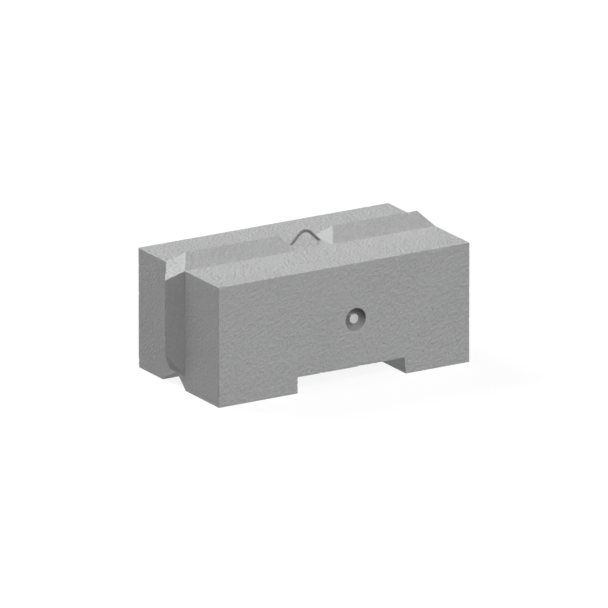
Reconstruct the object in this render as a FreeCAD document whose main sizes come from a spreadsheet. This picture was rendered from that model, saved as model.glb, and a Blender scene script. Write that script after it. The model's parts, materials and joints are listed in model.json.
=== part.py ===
import FreeCAD, Part
import math
import os

import Sketcher
from FreeCAD import Placement, Rotation, Vector

# Interlocking precast concrete barrier block, standing on its base.
#
# One rectangular concrete casting carries a V ridge on top, in two lengths with a lifting loop in the gap
# between them, and a V tongue down its left end whose mitred head runs into the ridge. A V groove along the
# underside and a V notch in the right end take the ridge and the tongue of the blocks next to it. A fork
# slot crosses the underside, and a round recess in the front face holds the head of a side lifting anchor.
# Inside the concrete lie the loop's legs and their cross bars, the anchor's shank, foot and hairpin, and a
# cage of seven closed links round eight main bars, held off the moulds by mortar spacers.
#
# Frame: +X along the block from the tongue to the notch, +Y from the front face to the rear face, +Z up.
# The origin is at the middle of the base of the overall box. Profiles are drawn from the left end face
# (x = 0), the middle of the width (y = 0) and the base (z = 0), and each sub-part's Placement then carries
# it to that origin. All sizes are in millimetres.

DIMENSIONS = [
    # alias, value, meaning
    ("block_length", 1400, "between the two flat end faces"),
    ("block_width", 750, "front face to rear face"),
    ("block_height", 600, "base to the flat of the top"),
    ("key_offset", 27, "ridge and tongue centre line, behind the middle of the width"),
    ("key_width", 175, "ridge and tongue, across their feet"),
    ("ridge_height", 62, "ridge above the flat of the top"),
    ("tongue_reach", 60, "tongue beyond the left end face"),
    ("mitre_run", 59, "length of the mitred end of the ridge, at the tongue"),
    ("long_hip_run", 60, "length of the long ridge's sloping end, at the gap"),
    ("short_hip_run", 51, "length of both sloping ends of the short ridge"),
    ("gap_left", 629, "foot of the long ridge, from the left end face"),
    ("gap_right", 824, "foot of the short ridge, from the left end face"),
    ("tongue_tip_base", 160.5, "underside of the tongue at its edge, above the base"),
    ("corner_trim", 30.5, "trim of the tongue's lower rear corner, across"),
    ("corner_trim_rise", 40, "trim of the tongue's lower rear corner, upwards"),
    ("groove_height", 72.5, "apex of the underside groove, above the base"),
    ("groove_front", -64, "front foot of the groove"),
    ("groove_apex", 15, "apex of the groove"),
    ("groove_rear", 148, "rear foot of the groove"),
    ("notch_depth", 62, "notch behind the right end face"),
    ("notch_clearance", 6, "notch wider than the tongue, on each side"),
    ("notch_roof_drop", 10, "roof of the notch below the top, at the end face"),
    ("slot_left", 439.5, "upright wall of the fork slot, from the left end face"),
    ("slot_right", 1033.5, "drafted wall of the fork slot, at its ceiling"),
    ("slot_draft", 8.5, "drafted wall's spread from ceiling to base"),
    ("slot_height", 80, "ceiling of the fork slot"),
    ("anchor_station", 762, "side anchor, from the left end face"),
    ("anchor_level", 317, "side anchor, above the base"),
    ("recess_radius", 56, "hemispherical recess round the anchor's head"),
    ("anchor_sink", 16, "face of the anchor's head below the front face"),
    ("anchor_head", 49, "anchor's head diameter"),
    ("anchor_head_depth", 9, "cylindrical part of the anchor's head"),
    ("anchor_edge", 2, "chamfer round the anchor's head"),
    ("anchor_neck", 12, "cone between head or foot and shank"),
    ("anchor_shank", 28, "anchor's shank diameter"),
    ("anchor_length", 330, "anchor, head to foot"),
    ("anchor_foot", 70, "anchor's foot diameter"),
    ("anchor_foot_depth", 10, "cylindrical part of the anchor's foot"),
    ("loop_station", 725, "middle of the lifting loop, from the left end face"),
    ("loop_offset", 34, "plane of the lifting loop, behind the middle of the width"),
    ("loop_bar", 14, "lifting loop's bar diameter"),
    ("loop_spread", 155, "between the two legs where they leave the concrete"),
    ("loop_bend", 47, "lifting loop's bend radius, on the bar's centre line"),
    ("loop_depth", 270, "loop's hooks below the flat of the top"),
    ("loop_hook", 110, "length of each level hook"),
    ("cross_bar", 12, "bar laid in each hook of the loop"),
    ("cross_bar_length", 600, "length of that bar"),
    ("cover", 50, "concrete over the cage"),
    ("link_bar", 10, "link's bar diameter"),
    ("link_bend", 26, "link's bend radius, on the bar's centre line"),
    ("link_base", 130, "centre line of each link's lower leg, above the base"),
    ("link_first", 100, "first link, from the left end face"),
    ("link_pitch", 200, "link to link"),
    ("main_bar", 12, "main bar diameter"),
    ("bar_gap", 1, "clear space between a main bar and a link"),
    ("lower_level", 225, "lower side bars above the base"),
    ("upper_level", 440, "upper side bars above the base"),
    ("hairpin_bar", 10, "hairpin's bar diameter"),
    ("hairpin_bend", 19, "hairpin's bend radius, on the bar's centre line"),
    ("hairpin_half", 19.6, "half the distance between the hairpin's legs"),
    ("hairpin_leg", 140, "hairpin's legs below the anchor"),
    ("hairpin_inset", 79, "hairpin behind the front face"),
    ("spacer_thickness", 22, "mortar spacer, along its link's leg"),
    ("spacer_level", 335, "mortar spacers above the base"),
    ("spacer_skin", 1, "mortar over the spacer's rim, at the concrete's face"),
    ("spacer_fit", 0.5, "clear space round the bar in a spacer's hole"),
]

LINK_COUNT = 7
SPACED_LINKS = (1, 3, 5, 7)  # the links that carry a mortar spacer on each side
OVERRUN = 1.5  # how far a cutting profile runs past the shape that it trims, as a factor
PAST = 10  # how far other cutting profiles run past a face, in millimetres

LEFT_END = "(dims.block_length - dims.tongue_reach) / 2"  # left end face, to the left of the origin
KEY_FRONT = "dims.key_offset - dims.key_width / 2"
KEY_REAR = "dims.key_offset + dims.key_width / 2"
RIDGE_TOP = "dims.block_height + dims.ridge_height"
CLEAR_TOP = f"dims.block_height + {OVERRUN} * dims.ridge_height"
LINK_TOP = "dims.block_height - dims.cover - dims.link_bar / 2"
LINK_SIDE = "dims.block_width / 2 - dims.cover - dims.link_bar / 2"
BAR_NEST = "(dims.link_bend - dims.link_bar / 2 - dims.main_bar / 2 - dims.bar_gap)"
SIDE_INSET = "(dims.link_bar / 2 + dims.main_bar / 2 + dims.bar_gap)"  # bar beside a link's upright leg
CORNER_INSET = f"(dims.link_bend - {BAR_NEST} * sqrt(0.5))"  # bar nested in a link's corner

doc = FreeCAD.newDocument("barrier_block")


# ---------------------------------------------------------------- helpers


def make_sheet():
    """Puts the driving dimensions in a spreadsheet, one row each."""
    sheet = doc.addObject("Spreadsheet::Sheet", "dims")
    for row, (alias, size, meaning) in enumerate(DIMENSIONS, 1):
        sheet.set(f"A{row}", alias)
        sheet.set(f"B{row}", str(size))
        sheet.set(f"C{row}", meaning)
        sheet.setAlias(f"B{row}", alias)
    doc.recompute()


def make_body(name):
    body = doc.addObject("PartDesign::Body", name)
    body.Label = name
    return body


def place(piece, station="0", y="0", z="0", turn=None):
    """Puts a piece at a station from the left end face, a y from the middle and a z above the base."""
    if turn:
        piece.Placement = Placement(Vector(), turn)
    piece.setExpression("Placement.Base.x", f"{station} - {LEFT_END}")
    piece.setExpression("Placement.Base.y", y)
    piece.setExpression("Placement.Base.z", z)
    return piece


def make_sketch(body, name, role, shift=None):
    """A sketch on one of the body's origin planes, moved along the plane's normal by the shift expression."""
    sketch = body.newObject("Sketcher::SketchObject", name)
    plane = next(f for f in body.Origin.OriginFeatures if f.Role == role)
    sketch.AttachmentSupport = (plane, [""])
    sketch.MapMode = "FlatFace"
    if shift:
        sketch.setExpression("AttachmentOffset.Base.z", shift)
    return sketch


def value(owner, expression):
    """The number, in millimetres, that an expression gives now."""
    result = owner.evalExpression(expression)
    return float(getattr(result, "Value", result))


def pin(sketch, geometry, vertex, corner):
    """Fixes a vertex at the corner's two coordinates, given as expressions."""
    for kind, expression in zip(("DistanceX", "DistanceY"), corner):
        datum = value(sketch, expression)
        index = sketch.addConstraint(Sketcher.Constraint(kind, -1, 1, geometry, vertex, datum))
        sketch.setExpression(f"Constraints[{index}]", expression)


def draw_outline(sketch, corners):
    """A closed outline of straight edges through the corners."""
    points = [Vector(value(sketch, u), value(sketch, v), 0) for u, v in corners]
    count = len(points)
    for i in range(count):
        sketch.addGeometry(Part.LineSegment(points[i], points[(i + 1) % count]), False)
    for i in range(count):
        sketch.addConstraint(Sketcher.Constraint("Coincident", i, 2, (i + 1) % count, 1))
    for i, corner in enumerate(corners):
        pin(sketch, i, 1, corner)
    return sketch


def draw_circle(sketch, centre, diameter):
    """A circle whose centre and diameter are expressions."""
    point = Vector(value(sketch, centre[0]), value(sketch, centre[1]), 0)
    radius = value(sketch, diameter) / 2
    circle = sketch.addGeometry(Part.Circle(point, Vector(0, 0, 1), radius), False)
    pin(sketch, circle, 3, centre)
    index = sketch.addConstraint(Sketcher.Constraint("Diameter", circle, 2 * radius))
    sketch.setExpression(f"Constraints[{index}]", diameter)
    return sketch


def draw_bent_line(sketch, corners, radius):
    """Straight runs between the corners, joined by tangent arcs of one radius at the inner corners."""
    points = [Vector(value(sketch, u), value(sketch, v), 0) for u, v in corners]
    bend = value(sketch, radius)
    starts, ends = [points[0]], []
    arcs = []
    for before, corner, after in zip(points, points[1:], points[2:]):
        back = (before - corner).normalize()
        ahead = (after - corner).normalize()
        half = back.getAngle(ahead) / 2
        middle = (back + ahead).normalize()
        reach = bend / math.tan(half)
        centre = corner + middle * (bend / math.sin(half))
        arcs.append(Part.Arc(corner + back * reach, centre - middle * bend, corner + ahead * reach))
        ends.append(corner + back * reach)
        starts.append(corner + ahead * reach)
    ends.append(points[-1])
    lines = [sketch.addGeometry(Part.LineSegment(a, b), False) for a, b in zip(starts, ends)]
    for i, arc in enumerate(arcs):
        curve = sketch.addGeometry(arc, False)
        first = sketch.getPoint(curve, 1)
        entry, leave = (1, 2) if first.distanceToPoint(ends[i]) < 1e-6 else (2, 1)
        sketch.addConstraint(Sketcher.Constraint("Tangent", lines[i], 2, curve, entry))
        sketch.addConstraint(Sketcher.Constraint("Tangent", curve, leave, lines[i + 1], 1))
        index = sketch.addConstraint(Sketcher.Constraint("Radius", curve, bend))
        sketch.setExpression(f"Constraints[{index}]", radius)
        marker = sketch.addGeometry(Part.Point(points[i + 1]), True)
        pin(sketch, marker, 1, corners[i + 1])
        sketch.addConstraint(Sketcher.Constraint("PointOnObject", marker, 1, lines[i]))
        sketch.addConstraint(Sketcher.Constraint("PointOnObject", marker, 1, lines[i + 1]))
    pin(sketch, lines[0], 1, corners[0])
    pin(sketch, lines[-1], 2, corners[-1])
    return sketch


def pad(body, name, sketch, length, both_ways=False):
    feature = body.newObject("PartDesign::Pad", name)
    feature.Profile = sketch
    feature.setExpression("Length", length)
    feature.Midplane = both_ways
    doc.recompute()
    return feature


def cut_through(body, name, sketch):
    """Cuts the sketch's outline right through the body, both ways, and checks that something went."""
    before = body.Shape.Volume
    feature = body.newObject("PartDesign::Pocket", name)
    feature.Profile = sketch
    feature.Type = "ThroughAll"
    feature.Midplane = True
    doc.recompute()
    assert feature.Shape.Volume < before, f"{name} cut nothing"
    return feature


def bent_bar(name, line_role, corners, bend, diameter, start_role, start_centre, start_shift=None):
    """A round bar swept along a bent line, from a circle at the line's start."""
    body = make_body(name)
    line = draw_bent_line(make_sketch(body, f"{name}_line", line_role), corners, bend)
    section = make_sketch(body, f"{name}_section", start_role, start_shift)
    draw_circle(section, start_centre, diameter)
    doc.recompute()
    pipe = body.newObject("PartDesign::AdditivePipe", f"{name}_pipe")
    pipe.Profile = section
    pipe.Spine = line
    doc.recompute()
    return body


def straight_bar(name, along, diameter, length, station, y, z):
    """A straight round bar along X or Y, placed by its starting end."""
    bar = doc.addObject("Part::Cylinder", name)
    bar.Label = name
    bar.setExpression("Radius", f"{diameter} / 2")
    bar.setExpression("Height", length)
    axis = {"X": Vector(1, 0, 0), "Y": Vector(0, 1, 0)}[along]
    return place(bar, station, y, z, Rotation(Vector(0, 0, 1), axis))


# ---------------------------------------------------------------- concrete


def add_blank(body):
    """The rectangular block with its fork slot: one pad of the front profile."""
    slot_foot = "dims.slot_right + dims.slot_draft"
    profile = draw_outline(make_sketch(body, "front_profile", "XZ_Plane"), [
        ("0", "0"),
        ("dims.slot_left", "0"),
        ("dims.slot_left", "dims.slot_height"),
        ("dims.slot_right", "dims.slot_height"),
        (slot_foot, "0"),
        ("dims.block_length", "0"),
        ("dims.block_length", "dims.block_height"),
        ("0", "dims.block_height"),
    ])
    pad(body, "blank", profile, "dims.block_width", both_ways=True)


def add_end_notch(body):
    """The V notch in the right end, open at the base, under a roof that slopes like the tongue's head."""
    half = "(dims.key_width / 2 + dims.notch_clearance)"
    mouth = f"{half} * (1 + {PAST} / dims.notch_depth)"
    outline = draw_outline(make_sketch(body, "notch_outline", "XY_Plane"), [
        ("dims.block_length - dims.notch_depth", "dims.key_offset"),
        (f"dims.block_length + {PAST}", f"dims.key_offset - {mouth}"),
        (f"dims.block_length + {PAST}", f"dims.key_offset + {mouth}"),
    ])
    cut_through(body, "end_notch", outline)

    roof_end = "dims.block_height - dims.notch_roof_drop"
    slope = "dims.ridge_height / dims.mitre_run"
    roof = draw_outline(make_sketch(body, "notch_roof_outline", "XZ_Plane"), [
        ("dims.block_length", roof_end),
        ("dims.block_length", "dims.block_height"),
        ("dims.block_length - dims.notch_depth", "dims.block_height"),
        ("dims.block_length - dims.notch_depth", f"{roof_end} - dims.notch_depth * {slope}"),
    ])
    pad(body, "notch_roof", roof, f"2 * ({half} + dims.key_offset)", both_ways=True)


def add_ridges(body):
    """The V ridge along the top, cut into two lengths with sloping ends."""
    section = draw_outline(make_sketch(body, "ridge_section", "YZ_Plane"), [
        (KEY_FRONT, "dims.block_height"),
        (KEY_REAR, "dims.block_height"),
        ("dims.key_offset", RIDGE_TOP),
    ])
    pad(body, "ridge", section, "dims.block_length")

    gap = draw_outline(make_sketch(body, "gap_outline", "XZ_Plane"), [
        ("dims.gap_left", "dims.block_height"),
        ("dims.gap_right", "dims.block_height"),
        (f"dims.gap_right + {OVERRUN} * dims.short_hip_run", CLEAR_TOP),
        (f"dims.gap_left - {OVERRUN} * dims.long_hip_run", CLEAR_TOP),
    ])
    cut_through(body, "ridge_gap", gap)

    end_hip = draw_outline(make_sketch(body, "end_hip_outline", "XZ_Plane"), [
        ("dims.block_length", "dims.block_height"),
        (f"dims.block_length + {PAST}", CLEAR_TOP),
        (f"dims.block_length - {OVERRUN} * dims.short_hip_run", CLEAR_TOP),
    ])
    cut_through(body, "end_hip", end_hip)


def add_tongue(body):
    """The V tongue down the left end, with its mitred head, sloping underside and trimmed corner."""
    section = draw_outline(make_sketch(body, "tongue_section", "XY_Plane"), [
        ("0", KEY_FRONT),
        ("0", KEY_REAR),
        ("-dims.tongue_reach", "dims.key_offset"),
    ])
    pad(body, "tongue", section, "dims.block_height")

    past_tip = f"-{OVERRUN} * dims.tongue_reach"
    slope = "dims.ridge_height / dims.mitre_run"
    mitre = draw_outline(make_sketch(body, "mitre_outline", "XZ_Plane"), [
        (past_tip, f"dims.block_height + {past_tip} * {slope}"),
        (f"{OVERRUN} * dims.mitre_run", CLEAR_TOP),
        (past_tip, CLEAR_TOP),
    ])
    cut_through(body, "mitre", mitre)

    rise = "(dims.tongue_tip_base - dims.groove_height)"
    underside = draw_outline(make_sketch(body, "underside_outline", "XZ_Plane"), [
        ("0", "dims.groove_height"),
        (past_tip, f"dims.groove_height + {OVERRUN} * {rise}"),
        (past_tip, f"-{PAST}"),
        ("0", f"-{PAST}"),
    ])
    cut_through(body, "tongue_underside", underside)

    trim_foot = f"{KEY_REAR} - dims.corner_trim"
    corner = draw_outline(make_sketch(body, "corner_outline", "YZ_Plane"), [
        (trim_foot, "dims.groove_height"),
        (f"{trim_foot} + 2 * dims.corner_trim", "dims.groove_height + 2 * dims.corner_trim_rise"),
        (f"{trim_foot} + 2 * dims.corner_trim", "dims.groove_height - dims.corner_trim_rise"),
        (trim_foot, "dims.groove_height - dims.corner_trim_rise"),
    ])
    before = body.Shape.Volume
    trim = body.newObject("PartDesign::Pocket", "corner_trim")
    trim.Profile = corner
    trim.UseCustomVector = True
    trim.AlongSketchNormal = True
    trim.setExpression("Direction.x", "-dims.tongue_reach / 1 mm")
    trim.setExpression("Direction.y", f"(dims.key_offset - ({trim_foot})) / 1 mm")
    trim.setExpression("Direction.z", f"{rise} / 1 mm")
    trim.setExpression("Length", f"dims.tongue_reach + {PAST}")
    doc.recompute()
    assert trim.Shape.Volume < before, "corner_trim cut nothing"


def add_groove(body):
    """The V groove along the underside."""
    section = draw_outline(make_sketch(body, "groove_section", "YZ_Plane"), [
        ("dims.groove_front", "0"),
        ("dims.groove_apex", "dims.groove_height"),
        ("dims.groove_rear", "0"),
    ])
    cut_through(body, "groove", section)


def add_recess(body):
    """The hemispherical recess round the side anchor's head."""
    before = body.Shape.Volume
    recess = body.newObject("PartDesign::SubtractiveSphere", "anchor_recess")
    recess.setExpression("Radius", "dims.recess_radius")
    recess.setExpression("Placement.Base.x", "dims.anchor_station")
    recess.setExpression("Placement.Base.y", "-dims.block_width / 2")
    recess.setExpression("Placement.Base.z", "dims.anchor_level")
    doc.recompute()
    assert recess.Shape.Volume < before, "anchor_recess cut nothing"


def make_casting():
    """The concrete without the cavities of what is cast into it."""
    body = make_body("casting")
    add_blank(body)
    add_end_notch(body)
    add_ridges(body)
    add_tongue(body)
    add_groove(body)
    add_recess(body)
    return place(body)


# ---------------------------------------------------------------- lifting gear


def make_lifting_loop():
    """One bar: level hook, sloping leg, bend over the top, sloping leg, level hook, all in one plane."""
    foot = "dims.loop_spread / 2 + dims.loop_depth"  # from the loop's middle to the corner of each hook
    end = f"{foot} + dims.loop_hook"
    crown = "dims.block_height + dims.loop_spread / 2"
    hook_level = "dims.block_height - dims.loop_depth"
    corners = [
        (f"-({end})", hook_level),
        (f"-({foot})", hook_level),
        ("0", crown),
        (foot, hook_level),
        (end, hook_level),
    ]
    loop = bent_bar("lifting_loop", "XZ_Plane", corners, "dims.loop_bend", "dims.loop_bar",
                    "YZ_Plane", ("0", hook_level), f"-({end})")
    return place(loop, "dims.loop_station", "dims.loop_offset")


def make_loop_cross_bars():
    """A short bar across each hook of the loop, lying inside the bend."""
    nest = "(dims.loop_bend - dims.loop_bar / 2 - dims.cross_bar / 2 - dims.bar_gap)"
    centre_rise = f"dims.loop_bend - {nest} * cos(22.5 deg)"
    centre_back = f"dims.loop_bend * tan(22.5 deg) - {nest} * sin(22.5 deg)"
    side = f"(dims.loop_spread / 2 + dims.loop_depth + {centre_back})"
    level = f"dims.block_height - dims.loop_depth + {centre_rise}"
    return [
        straight_bar(f"loop_cross_bar_{hand}", "Y", "dims.cross_bar", "dims.cross_bar_length",
                     f"dims.loop_station {sign} {side}", "-dims.cross_bar_length / 2", level)
        for hand, sign in (("left", "-"), ("right", "+"))
    ]


def make_side_anchor():
    """A forged anchor turned about its own axis: head with a chamfered edge, shank and wide foot."""
    body = make_body("side_lifting_anchor")
    head = "dims.anchor_head / 2"
    shank = "dims.anchor_shank / 2"
    foot = "dims.anchor_foot / 2"
    neck = "dims.anchor_sink + dims.anchor_head_depth"
    end = "dims.anchor_sink + dims.anchor_length"
    foot_top = f"{end} - dims.anchor_foot_depth"
    profile = draw_outline(make_sketch(body, "anchor_profile", "XY_Plane"), [
        ("0", "dims.anchor_sink"),
        (f"{head} - dims.anchor_edge", "dims.anchor_sink"),
        (head, "dims.anchor_sink + dims.anchor_edge"),
        (head, neck),
        (shank, f"{neck} + dims.anchor_neck"),
        (shank, f"{foot_top} - dims.anchor_neck"),
        (foot, foot_top),
        (foot, end),
        ("0", end),
    ])
    turned = body.newObject("PartDesign::Revolution", "anchor_turned")
    turned.Profile = profile
    turned.ReferenceAxis = (profile, ["V_Axis"])
    turned.Angle = 360
    doc.recompute()
    return place(body, "dims.anchor_station", "-dims.block_width / 2", "dims.anchor_level")


def make_anchor_hairpin():
    """A bar bent over the anchor's shank, just behind the recess, with both legs pointing down."""
    corners = [
        ("-dims.hairpin_half", "-dims.hairpin_leg"),
        ("-dims.hairpin_half", "dims.hairpin_half"),
        ("dims.hairpin_half", "dims.hairpin_half"),
        ("dims.hairpin_half", "-dims.hairpin_leg"),
    ]
    hairpin = bent_bar("anchor_hairpin", "XZ_Plane", corners, "dims.hairpin_bend", "dims.hairpin_bar",
                       "XY_Plane", ("-dims.hairpin_half", "0"), "-dims.hairpin_leg")
    inset = "dims.hairpin_inset - dims.block_width / 2"
    return place(hairpin, "dims.anchor_station", inset, "dims.anchor_level")


# ---------------------------------------------------------------- reinforcement


def link_station(number):
    return f"dims.link_first + {number - 1} * dims.link_pitch"


def make_link(number):
    """A closed rectangular link, standing across the block."""
    corners = [
        ("0", LINK_TOP),
        (LINK_SIDE, LINK_TOP),
        (LINK_SIDE, "dims.link_base"),
        (f"-({LINK_SIDE})", "dims.link_base"),
        (f"-({LINK_SIDE})", LINK_TOP),
        ("0", LINK_TOP),
    ]
    link = bent_bar(f"cage_link_{number}", "YZ_Plane", corners, "dims.link_bend", "dims.link_bar",
                    "XZ_Plane", ("0", LINK_TOP))
    return place(link, link_station(number))


def make_main_bars():
    """Two straight bars, front and rear, at each of four levels inside the links."""
    levels = {
        "top": (f"{LINK_TOP} - {CORNER_INSET}", CORNER_INSET),
        "upper": ("dims.upper_level", SIDE_INSET),
        "lower": ("dims.lower_level", SIDE_INSET),
        "bottom": (f"dims.link_base + {CORNER_INSET}", CORNER_INSET),
    }
    length = "dims.block_length - 2 * dims.cover"
    return [
        straight_bar(f"{level_name}_bar_{side}", "X", "dims.main_bar", length,
                     "dims.cover", f"{sign}({LINK_SIDE} - {inset})", level)
        for level_name, (level, inset) in levels.items()
        for side, sign in (("front", "-"), ("rear", ""))
    ]


def make_spacer(name, station, y):
    """A round mortar spacer threaded on the upright leg of a link."""
    disc = doc.addObject("Part::Cylinder", f"{name}_disc")
    disc.setExpression("Radius", "dims.cover + dims.link_bar / 2 - dims.spacer_skin")
    disc.setExpression("Height", "dims.spacer_thickness")
    hole = doc.addObject("Part::Cylinder", f"{name}_hole")
    hole.setExpression("Radius", "dims.link_bar / 2 + dims.spacer_fit")
    hole.setExpression("Height", "dims.spacer_thickness")
    spacer = doc.addObject("Part::Cut", name)
    spacer.Base = disc
    spacer.Tool = hole
    return place(spacer, station, y, "dims.spacer_level")


def make_cover_spacers():
    """All the mortar spacers, as one group of separate solids."""
    group = doc.addObject("Part::Compound", "cover_spacers")
    group.Label = "cover_spacers"
    group.Links = [
        make_spacer(f"spacer_{number}_{side}", link_station(number), f"{sign}({LINK_SIDE})")
        for number in SPACED_LINKS
        for side, sign in (("front", "-"), ("rear", ""))
    ]
    return group


# ---------------------------------------------------------------- the block and its files


def make_concrete_block(casting, cast_in):
    """The casting less everything that is cast into it."""
    filling = doc.addObject("Part::MultiFuse", "cast_in_pieces")
    filling.Shapes = cast_in
    block = doc.addObject("Part::Cut", "concrete_block")
    block.Label = "concrete_block"
    block.Base = casting
    block.Tool = filling
    return block


def check_document(pieces):
    """Stops on any failed object and on any sub-part with a null or invalid shape."""
    for item in doc.Objects:
        assert not {"Invalid", "Error"} & set(item.State), f"{item.Name} failed: {item.State}"
    for piece in pieces:
        assert not piece.Shape.isNull(), f"{piece.Label} is empty"
        assert piece.Shape.isValid(), f"{piece.Label} is not valid"
        assert piece.Shape.Solids, f"{piece.Label} has no solid"


def write_pieces(pieces):
    os.makedirs("parts", exist_ok=True)
    for piece in pieces:
        piece.Shape.exportStep(f"parts/{piece.Label}.step")
        box = piece.Shape.BoundBox
        size = " x ".join(f"{side:.1f}" for side in (box.XLength, box.YLength, box.ZLength))
        print(f"{piece.Label}: {size} mm, {len(piece.Shape.Solids)} solids, {piece.Shape.Volume / 1e3:.1f} cm3")


make_sheet()
casting = make_casting()
cast_in = [make_lifting_loop(), *make_loop_cross_bars(), make_side_anchor(), make_anchor_hairpin()]
cast_in += [make_link(number) for number in range(1, LINK_COUNT + 1)]
cast_in += [*make_main_bars(), make_cover_spacers()]
block = make_concrete_block(casting, cast_in)
doc.recompute()
pieces = [block, *cast_in]
check_document(pieces)
write_pieces(pieces)
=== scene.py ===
"""Looks of the interlocking concrete barrier block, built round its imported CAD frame."""

import json
import math
import random

import bmesh
import bpy
import numpy as np
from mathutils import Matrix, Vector, noise


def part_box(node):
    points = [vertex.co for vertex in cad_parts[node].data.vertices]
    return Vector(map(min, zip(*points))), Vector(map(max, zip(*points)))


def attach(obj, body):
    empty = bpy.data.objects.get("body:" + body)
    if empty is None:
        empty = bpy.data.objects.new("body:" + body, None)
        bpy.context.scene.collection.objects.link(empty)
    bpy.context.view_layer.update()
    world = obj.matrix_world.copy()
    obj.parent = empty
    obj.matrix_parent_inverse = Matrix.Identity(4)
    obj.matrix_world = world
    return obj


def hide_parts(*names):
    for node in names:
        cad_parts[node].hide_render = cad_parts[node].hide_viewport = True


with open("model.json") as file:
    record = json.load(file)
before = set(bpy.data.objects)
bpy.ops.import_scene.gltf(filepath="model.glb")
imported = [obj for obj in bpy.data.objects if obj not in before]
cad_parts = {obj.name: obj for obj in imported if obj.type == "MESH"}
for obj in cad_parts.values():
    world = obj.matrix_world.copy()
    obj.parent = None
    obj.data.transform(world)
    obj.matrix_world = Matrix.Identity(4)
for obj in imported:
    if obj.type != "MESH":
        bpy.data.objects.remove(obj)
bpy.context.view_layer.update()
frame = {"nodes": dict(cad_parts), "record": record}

# ------------------------------------------------------------------ sizes, in metres
# The block's own corners come from the frame. The sizes below repeat the driving dimensions of the CAD
# model, and are measured from the left end face, the middle of the width and the base.

block_low, block_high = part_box("concrete_block")
anchor_low, anchor_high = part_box("side_lifting_anchor")

TONGUE_REACH = 0.060
RIDGE_HEIGHT = 0.062
LEFT = block_low.x + TONGUE_REACH
RIGHT = block_high.x
FRONT, REAR = block_low.y, block_high.y
TOP = block_high.z - RIDGE_HEIGHT
CREST = block_high.z

KEY_MIDDLE = 0.027
KEY_FRONT = KEY_MIDDLE - 0.0875
KEY_REAR = KEY_MIDDLE + 0.0875
MITRE_SLOPE = RIDGE_HEIGHT / 0.059  # rise over run of the mitred head
LONG_HIP = 0.060
SHORT_HIP = 0.051
GAP_LEFT = LEFT + 0.629
GAP_RIGHT = LEFT + 0.824
TONGUE_TIP_BASE = 0.1605
CORNER_TRIM = 0.0305
CORNER_TRIM_RISE = 0.040
GROOVE = ((-0.064, 0.0), (0.015, 0.0725), (0.148, 0.0))  # front foot, apex and rear foot, as (y, z)
GROOVE_APEX = GROOVE[1][1]
NOTCH_DEPTH = 0.062
NOTCH_HALF = 0.0935
NOTCH_ROOF = TOP - 0.010
SLOT_LEFT = LEFT + 0.4395
SLOT_RIGHT = LEFT + 1.0335
SLOT_DRAFT = 0.0085
SLOT_HEIGHT = 0.080
RECESS_RADIUS = 0.056
RECESS = Vector(((anchor_low.x + anchor_high.x) / 2, FRONT, (anchor_low.z + anchor_high.z) / 2))

INSIDE = 0.02  # how far joined solids reach into each other
PAST = 0.02  # how far cutting solids run past a face

# ------------------------------------------------------------------ finish of the casting

ARRIS = 0.0045  # width of the softened arrises
ARRIS_STEPS = 3
ARRIS_ANGLE = math.radians(18)  # a convex edge at least this sharp is an arris
SMOOTH_ANGLE = math.radians(34)  # edges blunter than this are shaded smooth
CELL = 0.010
EDGE_CELLS = (0.0085, 0.017)  # finer cuts beside each outer face
WAVES = ((0.25, 0.0006), (0.07, 0.0004))  # size and height of the unevenness of the moulded faces
CHIP_DEPTH = 0.0035
CHIP_SIZE = 0.022
CHIP_REACH = 0.013  # how far from an arris chips go
CHIP_SPACING = 0.11  # size of the stretches of arris with more or fewer chips
CHIP_THRESHOLD = 0.42  # higher leaves more of the arrises whole
CHIP_GAIN = 2.2
SOLE_HEIGHT = 1e-4  # what lies lower than this belongs to the flat soles of the legs
PIT_COUNT = 160
PIT_RADII = (0.0006, 0.0030)
PIT_RINGS = ((1.0, 0.0), (0.84, 0.55), (0.5, 0.92))  # each ring's share of the radius and of the depth
PIT_CELL_SIDES = (0.0075, 0.016)  # a pit needs a square cell with sides between these
SEED = 7


# ------------------------------------------------------------------ solids


def new_mesh(bm, name):
    mesh = bpy.data.meshes.new(name)
    bm.to_mesh(mesh)
    bm.free()
    return mesh


def prism(outline, to_point, start, end):
    """A closed prism: the outline carried from start to end along the third direction."""
    bm = bmesh.new()
    near = [bm.verts.new(to_point(u, v, start)) for u, v in outline]
    far = [bm.verts.new(to_point(u, v, end)) for u, v in outline]
    bm.faces.new(near)
    bm.faces.new(far)
    for i in range(len(outline)):
        bm.faces.new((near[i], near[i - 1], far[i - 1], far[i]))
    bmesh.ops.recalc_face_normals(bm, faces=bm.faces)
    return bm


def along_x(u, v, w):
    return Vector((w, u, v))


def along_y(u, v, w):
    return Vector((u, w, v))


def along_z(u, v, w):
    return Vector((u, v, w))


def trim(bm, point, normal):
    """Cuts away what lies beyond the plane, on the side that its normal points to, and caps the cut."""
    parts = bm.verts[:] + bm.edges[:] + bm.faces[:]
    cut = bmesh.ops.bisect_plane(
        bm, geom=parts, dist=1e-7, plane_co=point, plane_no=normal, clear_outer=True
    )
    edges = [e for e in cut["geom_cut"] if isinstance(e, bmesh.types.BMEdge)]
    bmesh.ops.edgeloop_fill(bm, edges=edges)
    bmesh.ops.recalc_face_normals(bm, faces=bm.faces)


def combine(base, tool, operation):
    """The mesh of base joined with or cut by tool."""
    pair = [bpy.data.objects.new("work", mesh) for mesh in (base, tool)]
    for item in pair:
        bpy.context.scene.collection.objects.link(item)
    boolean = pair[0].modifiers.new("boolean", "BOOLEAN")
    boolean.operation = operation
    boolean.solver = "EXACT"
    boolean.object = pair[1]
    depsgraph = bpy.context.evaluated_depsgraph_get()
    result = bpy.data.meshes.new_from_object(pair[0].evaluated_get(depsgraph))
    for item in pair:
        bpy.data.objects.remove(item)
    return result


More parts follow.
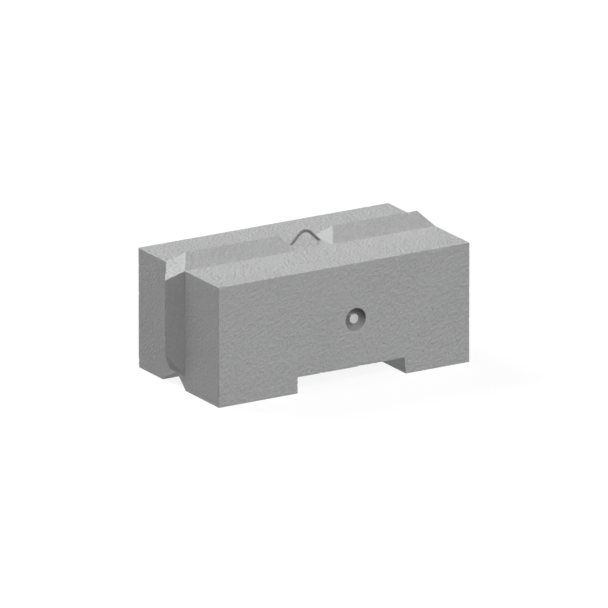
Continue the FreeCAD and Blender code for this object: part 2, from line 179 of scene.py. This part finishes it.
def ridge(start, end):
    """A length of V ridge with its foot inside the block, still square-ended."""
    outline = [(KEY_FRONT, TOP), (KEY_MIDDLE, CREST), (KEY_REAR, TOP)]
    outline += [(KEY_REAR, TOP - INSIDE), (KEY_FRONT, TOP - INSIDE)]
    return prism(outline, along_x, start, end)


def long_ridge():
    bm = ridge(LEFT, GAP_LEFT)
    trim(bm, (LEFT, 0, TOP), (-MITRE_SLOPE, 0, 1))
    trim(bm, (GAP_LEFT, 0, TOP), (RIDGE_HEIGHT, 0, LONG_HIP))
    return new_mesh(bm, "long_ridge")


def short_ridge():
    bm = ridge(GAP_RIGHT, RIGHT)
    trim(bm, (GAP_RIGHT, 0, TOP), (-RIDGE_HEIGHT, 0, SHORT_HIP))
    trim(bm, (RIGHT, 0, TOP), (RIDGE_HEIGHT, 0, SHORT_HIP))
    return new_mesh(bm, "short_ridge")


def tongue():
    """The V tongue with its mitred head, sloping underside and trimmed lower rear corner."""
    tip = LEFT - TONGUE_REACH
    outline = [(LEFT, KEY_FRONT), (tip, KEY_MIDDLE), (LEFT, KEY_REAR)]
    outline += [(LEFT + INSIDE, KEY_REAR), (LEFT + INSIDE, KEY_FRONT)]
    bm = prism(outline, along_z, 0, TOP)
    trim(bm, (LEFT, 0, TOP), (-MITRE_SLOPE, 0, 1))
    rise = TONGUE_TIP_BASE - GROOVE_APEX
    trim(bm, (LEFT, 0, GROOVE_APEX), (-rise, 0, -TONGUE_REACH))
    corner = Vector((LEFT, KEY_REAR - CORNER_TRIM, GROOVE_APEX))
    up_the_edge = Vector((-TONGUE_REACH, KEY_MIDDLE - corner.y, rise))
    up_the_foot = Vector((0, CORNER_TRIM, CORNER_TRIM_RISE))
    outward = up_the_foot.cross(up_the_edge)
    if outward.y < 0:
        outward.negate()
    trim(bm, corner, outward)
    return new_mesh(bm, "tongue")


def groove():
    (front, low), (apex, high), (rear, _) = GROOVE
    spread = 1 + PAST / high
    outline = [(apex + (front - apex) * spread, low - PAST), (apex, high)]
    outline += [(apex + (rear - apex) * spread, low - PAST)]
    return new_mesh(prism(outline, along_x, LEFT - PAST, RIGHT + PAST), "groove")


def fork_slot():
    foot = SLOT_RIGHT + SLOT_DRAFT * (1 + PAST / SLOT_HEIGHT)
    outline = [(SLOT_LEFT, -PAST), (SLOT_LEFT, SLOT_HEIGHT), (SLOT_RIGHT, SLOT_HEIGHT), (foot, -PAST)]
    return new_mesh(prism(outline, along_y, FRONT - PAST, REAR + PAST), "fork_slot")


def end_notch():
    """The V notch in the right end, under its sloping roof."""
    half = NOTCH_HALF * (1 + PAST / NOTCH_DEPTH)
    outline = [(RIGHT - NOTCH_DEPTH, KEY_MIDDLE), (RIGHT + PAST, KEY_MIDDLE - half)]
    outline += [(RIGHT + PAST, KEY_MIDDLE + half)]
    bm = prism(outline, along_z, -PAST, TOP + PAST)
    trim(bm, (RIGHT, 0, NOTCH_ROOF), (-MITRE_SLOPE, 0, 1))
    return new_mesh(bm, "end_notch")


def recess():
    bm = bmesh.new()
    bmesh.ops.create_uvsphere(bm, u_segments=96, v_segments=32, radius=RECESS_RADIUS)
    for vert in bm.verts:
        vert.co = Vector((vert.co.x, vert.co.z, vert.co.y)) + RECESS
    bmesh.ops.recalc_face_normals(bm, faces=bm.faces)
    return new_mesh(bm, "recess")


def sharp_casting():
    """The casting with sharp arrises, as one closed mesh."""
    box = [(LEFT, 0), (RIGHT, 0), (RIGHT, TOP), (LEFT, TOP)]
    shape = new_mesh(prism(box, along_y, FRONT, REAR), "blank")
    for part in (long_ridge(), short_ridge(), tongue()):
        shape = combine(shape, part, "UNION")
    for part in (groove(), fork_slot(), end_notch(), recess()):
        shape = combine(shape, part, "DIFFERENCE")
    return shape


# ------------------------------------------------------------------ the casting's surface


def in_order(mesh):
    """The mesh with its vertices and faces sorted by place.

    The solvers leave them in any order, and what follows has to come out the same on each run.
    """
    places = [tuple(vert.co) for vert in mesh.vertices]
    order = sorted(range(len(places)), key=places.__getitem__)
    rank = {old: new for new, old in enumerate(order)}
    faces = []
    for face in mesh.polygons:
        corners = [rank[i] for i in face.vertices]
        first = corners.index(min(corners))
        faces.append(corners[first:] + corners[:first])
    bm = bmesh.new()
    verts = [bm.verts.new(places[i]) for i in order]
    for corners in sorted(faces):
        bm.faces.new([verts[i] for i in corners])
    return new_mesh(bm, "sorted")


def convex_edges(bm):
    """The arrises: edges that stand out, between faces at a clear angle."""
    found = []
    for edge in bm.edges:
        if len(edge.link_faces) == 2 and edge.is_convex and edge.calc_face_angle() > ARRIS_ANGLE:
            found.append(edge)
    return found


def slice_positions(low, high, faces):
    """Evenly spaced cuts from low to high, with finer ones beside the named faces."""
    count = round((high - low) / CELL)
    cuts = {round(low + (high - low) * i / count, 5) for i in range(1, count)}
    cuts = {c for c in cuts if all(abs(c - f) > EDGE_CELLS[-1] + CELL / 3 for f in faces)}
    for face in faces:
        cuts |= {round(face + sign * step, 5) for step in EDGE_CELLS for sign in (-1, 1)}
    return sorted(c for c in cuts if low < c < high)


def slice_up(bm):
    """Cuts every face into cells, so that wear and unevenness have something to move."""
    axes = (
        ((1, 0, 0), slice_positions(LEFT - TONGUE_REACH, RIGHT, (LEFT, RIGHT))),
        ((0, 1, 0), slice_positions(FRONT, REAR, (FRONT, REAR))),
        ((0, 0, 1), slice_positions(0, CREST, (0, TOP))),
    )
    for normal, positions in axes:
        for position in positions:
            parts = bm.verts[:] + bm.edges[:] + bm.faces[:]
            point = Vector(normal) * position
            bmesh.ops.bisect_plane(bm, geom=parts, dist=1e-5, plane_co=point, plane_no=normal)


def distance_to_segments(points, segments):
    """Each point's distance to the nearest of the segments."""
    best = np.full(len(points), 1e9)
    for a, b in segments:
        along = b - a
        t = np.clip((points - a) @ along / (along @ along), 0, 1)
        best = np.minimum(best, np.linalg.norm(points - (a + t[:, None] * along), axis=1))
    return best


def wear(mesh, arrises):
    """Moves the skin inwards: slow waves over the faces, and chips along the arrises."""
    count = len(mesh.vertices)
    points = np.empty(count * 3)
    mesh.vertices.foreach_get("co", points)
    points = points.reshape(-1, 3)
    normals = np.empty(count * 3)
    mesh.vertex_normals.foreach_get("vector", normals)
    normals = normals.reshape(-1, 3)

    near = distance_to_segments(points, arrises)
    sunk = np.zeros(count)
    for size, height in WAVES:
        wave = np.array([noise.noise(Vector(p) / size) for p in points])
        sunk += height * (0.5 + 0.5 * wave)
    chips = np.zeros(count)
    for i in np.flatnonzero(near < CHIP_REACH):
        p = Vector(points[i])
        where = noise.noise(p / CHIP_SPACING + Vector((3, 9, 4)))
        rough = noise.fractal(p / CHIP_SIZE, 0.8, 2.1, 3)
        chips[i] = max(0.0, rough * 0.8 + where * 0.9 - CHIP_THRESHOLD)
    fade = np.clip(1 - near / CHIP_REACH, 0, 1) ** 1.5
    depth = sunk + CHIP_DEPTH * np.minimum(chips * CHIP_GAIN, 1) * fade
    depth[points[:, 2] < SOLE_HEIGHT] = 0
    points -= normals * depth[:, None]
    points[:, 2] = np.maximum(points[:, 2], 0)
    mesh.vertices.foreach_set("co", points.ravel())
    mesh.update()


def dig_pit(bm, face, radius, draw):
    """Replaces a square cell by a small pit with eight uneven sides and a rounded bottom."""
    corners = face.verts[:]
    middle = face.calc_center_median()
    normal = face.normal.copy()
    first = (corners[0].co - middle).normalized()
    second = normal.cross(first)
    bm.faces.remove(face)
    depth = radius * draw.uniform(0.3, 0.9)
    narrow = draw.uniform(0.55, 1.0)
    turn = draw.uniform(0, math.pi)
    reach = []
    for k in range(8):
        angle = math.radians(45 * k - 22.5) - turn
        oval = 1 / math.hypot(math.cos(angle), math.sin(angle) / narrow)
        reach.append(radius * oval * draw.uniform(0.85, 1.1))
    rings = []
    for scale, sink in PIT_RINGS:
        ring = []
        for k in range(8):
            angle = math.radians(45 * k - 22.5)
            out = first * math.cos(angle) + second * math.sin(angle)
            ring.append(bm.verts.new(middle + out * reach[k] * scale - normal * depth * sink))
        rings.append(ring)
    outer = rings[0]
    for k in range(4):
        bm.faces.new((corners[k], corners[(k + 1) % 4], outer[(2 * k + 2) % 8], outer[2 * k + 1]))
        bm.faces.new((corners[k], outer[2 * k + 1], outer[2 * k]))
    for ring, deeper in zip(rings, rings[1:]):
        for k in range(8):
            bm.faces.new((ring[k], ring[(k + 1) % 8], deeper[(k + 1) % 8], deeper[k]))
    bottom = bm.verts.new(middle - normal * depth)
    for k in range(8):
        bm.faces.new((rings[-1][k], rings[-1][(k + 1) % 8], bottom))


def takes_a_pit(face):
    """Whether a cell is square enough for a pit, and on an upright or sloping face."""
    sides = [edge.calc_length() for edge in face.edges]
    least, most = PIT_CELL_SIDES
    return len(sides) == 4 and min(sides) > least and max(sides) < most and abs(face.normal.z) < 0.95


def dig_pits(mesh):
    """Air holes left by the casting, scattered over the upright and sloping faces."""
    draw = random.Random(SEED)
    bm = bmesh.new()
    bm.from_mesh(mesh)
    bm.normal_update()
    cells = [face for face in bm.faces if takes_a_pit(face)]
    taken = set()
    for face in draw.sample(cells, min(PIT_COUNT, len(cells) // 4)):
        if taken & {v.index for v in face.verts}:
            continue
        taken |= {v.index for v in face.verts}
        radius = PIT_RADII[0] + (PIT_RADII[1] - PIT_RADII[0]) * draw.random() ** 2.5
        dig_pit(bm, face, radius, draw)
    bmesh.ops.recalc_face_normals(bm, faces=bm.faces)
    bm.to_mesh(mesh)
    bm.free()


def in_recess(face):
    return (face.center - RECESS).length < RECESS_RADIUS + 0.002 and face.center.y > FRONT + 0.0015


def make_casting():
    """The concrete as it looks: softened, chipped arrises, a slightly uneven skin and air holes."""
    bm = bmesh.new()
    bm.from_mesh(in_order(sharp_casting()))
    bmesh.ops.remove_doubles(bm, verts=bm.verts, dist=2e-5)
    bmesh.ops.dissolve_limit(bm, angle_limit=math.radians(0.5), verts=bm.verts, edges=bm.edges)
    edges = convex_edges(bm)
    worn = [e for e in edges if (e.verts[0].co - RECESS).length > RECESS_RADIUS + ARRIS]
    arrises = [tuple(np.array(v.co) for v in edge.verts) for edge in worn]
    bmesh.ops.bevel(
        bm, geom=edges, offset=ARRIS, offset_type="OFFSET", segments=ARRIS_STEPS,
        profile=0.5, affect="EDGES", clamp_overlap=True,
    )
    slice_up(bm)
    mesh = in_order(new_mesh(bm, "sliced"))
    wear(mesh, arrises)
    dig_pits(mesh)
    mesh = in_order(mesh)
    mesh.shade_smooth()
    mesh.set_sharp_from_angle(angle=SMOOTH_ANGLE)
    casting = bpy.data.objects.new("casting", mesh)
    bpy.context.scene.collection.objects.link(casting)
    casting.data.materials.append(concrete_material("cast_concrete"))
    # the recess gets a darker copy of the concrete: painted shade in the recess
    casting.data.materials.append(concrete_material("recess_painted_shade_concrete", RECESS_SHADE_TONE, RECESS_RELIEF))
    for face in mesh.polygons:
        if in_recess(face):
            face.material_index = 1
    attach(casting, "root")
    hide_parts("concrete_block")


# ------------------------------------------------------------------ materials


COOL = -0.003  # the grey leans this much from red to blue
RELIEF = 0.0074  # height of the embossed mottle
RECESS_SHADE_TONE = 0.56  # painted shade: how much darker the skin of the recess is painted than the rest
RECESS_RELIEF = 0.0015
GRAIN = (0.48, -0.48, 0.734)  # the direction in which the embossed mottle is drawn out
FLOATED = (0.6, 0.8, 0.0)  # and that of the top, which was floated across


class Nodes:
    """A short way to write one material's node tree."""

    def __init__(self, name):
        self.material = bpy.data.materials.new(name)
        self.material.use_nodes = True
        self.tree = self.material.node_tree
        self.shader = self.tree.nodes["Principled BSDF"]

    def add(self, kind, inputs=None, **settings):
        node = self.tree.nodes.new(kind)
        for key, setting in settings.items():
            setattr(node, key, setting)
        for key, source in (inputs or {}).items():
            self.feed(node.inputs[key], source)
        return node

    def feed(self, socket, source):
        if isinstance(source, bpy.types.NodeSocket):
            self.tree.links.new(source, socket)
        else:
            socket.default_value = source

    def place(self):
        return self.add("ShaderNodeTexCoord").outputs["Object"]

    def drawn_out(self, way, share):
        """The place, shortened along one direction, which draws a pattern out in that direction."""
        place = self.place()
        along = self.add("ShaderNodeVectorMath", {0: place, 1: way}, operation="DOT_PRODUCT")
        inputs = {0: way, "Scale": self.math("MULTIPLY", along.outputs["Value"], share)}
        part = self.add("ShaderNodeVectorMath", inputs, operation="SCALE")
        inputs = {0: place, 1: part.outputs[0]}
        return self.add("ShaderNodeVectorMath", inputs, operation="SUBTRACT").outputs[0]

    def noise(self, size, detail=3.0, roughness=0.5, seed=0.0, place=None):
        """Noise from 0 to 1 whose features are about that size, in metres."""
        inputs = {0: place or self.place(), 1: (seed, seed * 1.7, seed * 0.6)}
        shifted = self.add("ShaderNodeVectorMath", inputs)
        inputs = {"Vector": shifted.outputs[0], "Scale": 1 / size, "Detail": detail, "Roughness": roughness}
        return self.add("ShaderNodeTexNoise", inputs).outputs["Fac"]

    def math(self, operation, a, b=0.0):
        return self.add("ShaderNodeMath", {0: a, 1: b}, operation=operation).outputs[0]

    def ramp(self, fac, low, high, to_low=0.0, to_high=1.0):
        inputs = {"Value": fac, "From Min": low, "From Max": high, "To Min": to_low, "To Max": to_high}
        node = self.add("ShaderNodeMapRange", inputs, interpolation_type="SMOOTHSTEP")
        return node.outputs["Result"]

    def mix(self, fac, a, b):
        node = self.add("ShaderNodeMix", data_type="RGBA")
        self.feed(node.inputs[0], fac)
        self.feed(node.inputs[6], a)
        self.feed(node.inputs[7], b)
        return node.outputs[2]

    def bump(self, height, distance, strength=1.0, normal=None):
        inputs = {"Height": height, "Distance": distance, "Strength": strength}
        node = self.add("ShaderNodeBump", inputs)
        if normal is not None:
            self.feed(node.inputs["Normal"], normal)
        return node.outputs["Normal"]

    def pores(self, cell, size, share, seed=0.0):
        """Round spots, 1 inside and 0 outside: at most one to a cell, in the given share of the cells."""
        shifted = self.add("ShaderNodeVectorMath", {0: self.place(), 1: (seed, seed, seed)})
        inputs = {"Vector": shifted.outputs[0], "Scale": 1 / cell, "Randomness": 0.8}
        voronoi = self.add("ShaderNodeTexVoronoi", inputs)
        split = self.add("ShaderNodeSeparateColor", {"Color": voronoi.outputs["Color"]})
        edge = self.math("MULTIPLY", split.outputs["Green"], size / cell)
        inside = self.math("SUBTRACT", edge, voronoi.outputs["Distance"])
        spot = self.ramp(inside, 0.0, 0.06)
        chosen = self.math("LESS_THAN", split.outputs["Red"], share)
        return self.math("MULTIPLY", spot, chosen)


def grey(level, warm=0.0):
    return (level * (1 + warm), level, level * (1 - warm), 1)


def concrete_material(name, tone=1.0, relief=RELIEF):
    """Plain cast concrete: pale cloudy paste, sand grain, small air holes with painted shade in them, and
    an embossed mottle.

    The mottle is slanted on the moulded faces, fainter on the ends, and runs across the floated top.
    """
    m = Nodes(name)
    facing = m.add("ShaderNodeSeparateXYZ", {0: m.add("ShaderNodeNewGeometry").outputs["True Normal"]})
    upward = m.ramp(facing.outputs["Z"], 0.5, 0.9)
    endward = m.ramp(m.math("ABSOLUTE", facing.outputs["X"]), 0.3, 0.9)
    rearward = m.ramp(facing.outputs["Y"], 0.3, 0.9)

    fine = m.noise(0.0100, 2, 0.42, seed=11.0, place=m.drawn_out(GRAIN, 0.55))
    coarse = m.noise(0.0130, 2, 0.45, seed=17.0, place=m.drawn_out(FLOATED, 0.5))
    cloud = m.ramp(m.noise(0.30, 4, 0.55), 0.3, 0.7)
    mottle = m.ramp(m.mix(upward, fine, coarse), 0.35, 0.65)
    sand = m.ramp(m.noise(0.0026, 3, 0.75, seed=4.0), 0.35, 0.65)
    pores = m.math("MAXIMUM", m.pores(0.016, 0.0028, 0.30), m.pores(0.055, 0.0050, 0.22, seed=5.0))
    colour = m.mix(cloud, grey(0.425 * tone, COOL), grey(0.452 * tone, COOL))
    share = m.math("MULTIPLY", mottle, m.ramp(upward, 0.0, 1.0, 0.45, 0.60))
    colour = m.mix(share, colour, grey(0.500 * tone, COOL))
    colour = m.mix(m.math("MULTIPLY", sand, 0.30), colour, grey(0.38 * tone, COOL))
    # the air holes are also painted darker: painted shade inside the holes, beside their bump
    colour = m.mix(m.math("MULTIPLY", pores, 0.35), colour, grey(0.24 * tone, COOL))
    m.feed(m.shader.inputs["Base Color"], colour)
    m.feed(m.shader.inputs["Roughness"], m.ramp(m.noise(0.02, 3, 0.6, seed=7.0), 0.3, 0.7, 0.43, 0.55))
    m.shader.inputs["Specular IOR Level"].default_value = 0.5

    fine = m.math("MULTIPLY", fine, m.ramp(endward, 0.0, 1.0, 1.0, 0.30))
    fine = m.math("MULTIPLY", fine, m.ramp(rearward, 0.0, 1.0, 1.0, 0.55))
    coarse = m.math("MULTIPLY", coarse, m.math("MULTIPLY", upward, 1.6))
    normal = m.bump(m.math("ADD", fine, coarse), relief)
    normal = m.bump(sand, 0.00025, 1.0, normal)
    normal = m.bump(m.math("SUBTRACT", 1.0, pores), 0.0012, 1.0, normal)
    m.feed(m.shader.inputs["Normal"], normal)
    return m.material


def steel_material(name, dark, light, metallic, roughness, rust=0.0, grain=0.004):
    """Bare or zinc-coated steel with scale, fine pitting and, where asked, rust."""
    m = Nodes(name)
    scale = m.ramp(m.noise(grain * 4, 4, 0.6), 0.3, 0.7)
    colour = m.mix(scale, grey(dark, 0.01), grey(light, 0.01))
    if rust:
        spots = m.ramp(m.noise(0.018, 4, 0.7, seed=3.0), 0.62 - 0.2 * rust, 0.80 - 0.2 * rust)
        colour = m.mix(spots, colour, (0.16, 0.075, 0.035, 1))
    m.feed(m.shader.inputs["Base Color"], colour)
    m.shader.inputs["Metallic"].default_value = metallic
    spread = m.ramp(m.noise(grain * 2, 3, 0.6, seed=1.0), 0.3, 0.7, roughness - 0.08, roughness + 0.1)
    m.feed(m.shader.inputs["Roughness"], spread)
    normal = m.bump(m.noise(grain, 4, 0.65, seed=6.0), 0.0004)
    m.feed(m.shader.inputs["Normal"], normal)
    return m.material


def mortar_material():
    """Fine grey mortar of the spacers."""
    m = Nodes("spacer_mortar")
    grain = m.ramp(m.noise(0.004, 4, 0.6), 0.3, 0.7)
    m.feed(m.shader.inputs["Base Color"], m.mix(grain, grey(0.30, 0.01), grey(0.40, 0.01)))
    m.shader.inputs["Roughness"].default_value = 0.9
    m.feed(m.shader.inputs["Normal"], m.bump(grain, 0.0005))
    return m.material


def floor_material():
    """A plain pale floor, lit from within a little, so that shadows on it stay light."""
    m = Nodes("pale_floor")
    tint = m.ramp(m.noise(1.5, 2, 0.5), 0.3, 0.7)
    m.feed(m.shader.inputs["Base Color"], m.mix(tint, grey(0.25), grey(0.26)))
    m.shader.inputs["Roughness"].default_value = 1.0
    m.shader.inputs["Specular IOR Level"].default_value = 0.0
    m.shader.inputs["Emission Color"].default_value = grey(1.0)
    m.shader.inputs["Emission Strength"].default_value = 0.74
    return m.material


def dress(piece, material):
    """Gives every material slot of a piece this material."""
    if not piece.material_slots:
        piece.data.materials.append(material)
    for slot in piece.material_slots:
        slot.material = material


# ------------------------------------------------------------------ stage

WORLD_ABOVE = 0.028  # strength of the light from all round, above and below the horizon
WORLD_BELOW = 0.045
FLOOR_HALF = 60  # how far the floor reaches each way
UNSHADED = 0.55  # the part of each sun's light that casts no shadow, as in a bright room


def make_floor():
    bm = bmesh.new()
    bmesh.ops.create_grid(bm, x_segments=1, y_segments=1, size=FLOOR_HALF)
    floor = bpy.data.objects.new("floor", new_mesh(bm, "floor"))
    bpy.context.scene.collection.objects.link(floor)
    floor.visible_diffuse = False
    dress(floor, floor_material())


def keep_off(lamp, piece):
    """Lets a lamp light everything but one piece."""
    group = bpy.data.collections.new(lamp.name + "_leaves_out")
    group.objects.link(piece)
    group.collection_objects[0].light_linking.link_state = "EXCLUDE"
    lamp.light_linking.receiver_collection = group


def make_lamp(name, towards, strength, spread, shadow):
    """One sun lamp that shines from the given direction, with its spread in degrees."""
    lamp = bpy.data.lights.new(name, "SUN")
    lamp.energy = strength
    lamp.angle = math.radians(spread)
    lamp.use_shadow = shadow
    sun = bpy.data.objects.new(name, lamp)
    sun.rotation_mode = "QUATERNION"
    sun.rotation_quaternion = Vector(towards).to_track_quat("Z", "Y")
    bpy.context.scene.collection.objects.link(sun)
    return sun


def make_sun(name, towards, strength, spread, unshaded=UNSHADED):
    """A soft sun, with a second lamp for the part of its light that casts no shadow.

    The second lamp doesn't reach the anchor from behind, through the concrete round it.
    """
    make_lamp(name, towards, strength * (1 - unshaded), spread, True)
    if unshaded:
        fill = make_lamp(name + "_fill", towards, strength * unshaded, spread, False)
        if towards[1] > 0:
            keep_off(fill, frame["nodes"]["side_lifting_anchor"])


def make_world():
    """Weak light from all round, more of it from below the horizon, before a white backdrop."""
    world = bpy.data.worlds.new("studio")
    world.use_nodes = True
    nodes, links = world.node_tree.nodes, world.node_tree.links
    ambient = nodes["Background"]
    ambient.inputs["Color"].default_value = (1, 1, 1, 1)
    place = nodes.new("ShaderNodeTexCoord")
    split = nodes.new("ShaderNodeSeparateXYZ")
    links.new(place.outputs["Generated"], split.inputs[0])
    level = nodes.new("ShaderNodeMapRange")
    level.inputs["From Min"].default_value = -0.2
    level.inputs["From Max"].default_value = 0.2
    level.inputs["To Min"].default_value = WORLD_BELOW
    level.inputs["To Max"].default_value = WORLD_ABOVE
    links.new(split.outputs["Z"], level.inputs["Value"])
    links.new(level.outputs["Result"], ambient.inputs["Strength"])
    backdrop = nodes.new("ShaderNodeBackground")
    backdrop.inputs["Color"].default_value = (1, 1, 1, 1)
    path = nodes.new("ShaderNodeLightPath")
    mix = nodes.new("ShaderNodeMixShader")
    links.new(path.outputs["Is Camera Ray"], mix.inputs[0])
    links.new(ambient.outputs[0], mix.inputs[1])
    links.new(backdrop.outputs[0], mix.inputs[2])
    links.new(mix.outputs[0], nodes["World Output"].inputs["Surface"])
    bpy.context.scene.world = world


def make_camera(aim, azimuth, elevation, width):
    """A long-lens camera, so far off that parallel edges stay parallel, with the given width in view."""
    data = bpy.data.cameras.new("camera")
    data.lens = 1200
    data.sensor_width = 36
    distance = width * data.lens / data.sensor_width
    data.clip_start = 1
    data.clip_end = 3 * distance
    a, e = math.radians(azimuth), math.radians(elevation)
    back = Vector((math.sin(a) * math.cos(e), -math.cos(a) * math.cos(e), math.sin(e)))
    camera = bpy.data.objects.new("camera", data)
    camera.location = Vector(aim) + back * distance
    camera.rotation_mode = "QUATERNION"
    camera.rotation_quaternion = (-back).to_track_quat("-Z", "Y")
    bpy.context.scene.collection.objects.link(camera)
    bpy.context.scene.camera = camera


# ------------------------------------------------------------------ the scene

make_casting()
dress(frame["nodes"]["lifting_loop"], steel_material("loop_steel", 0.15, 0.22, 0.30, 0.5))
dress(frame["nodes"]["side_lifting_anchor"], steel_material("anchor_steel", 0.57, 0.68, 0.40, 0.45))
cage_steel = steel_material("cage_steel", 0.12, 0.2, 0.5, 0.6, rust=0.9)
mortar = mortar_material()
for part in frame["record"]["subparts"]:
    if part["material_slot"] == "cage_steel":
        dress(frame["nodes"][part["node"]], cage_steel)
    if part["material_slot"] == "spacer_mortar":
        dress(frame["nodes"][part["node"]], mortar)

make_floor()
make_sun("left", (-0.436, 0.637, 0.636), 0.96, 28)
make_sun("rear", (-0.280, 0.700, 0.656), 2.42, 30)
make_sun("front", (0.051, -0.810, 0.585), 2.33, 40)
make_sun("right", (0.95, 0.10, 0.30), 0.50, 50, unshaded=0)
make_world()
make_camera(aim=(0.0231, -0.0110, 0.3082), azimuth=-31.15, elevation=17.52, width=2.9105)
bpy.context.scene.view_settings.view_transform = "Standard"
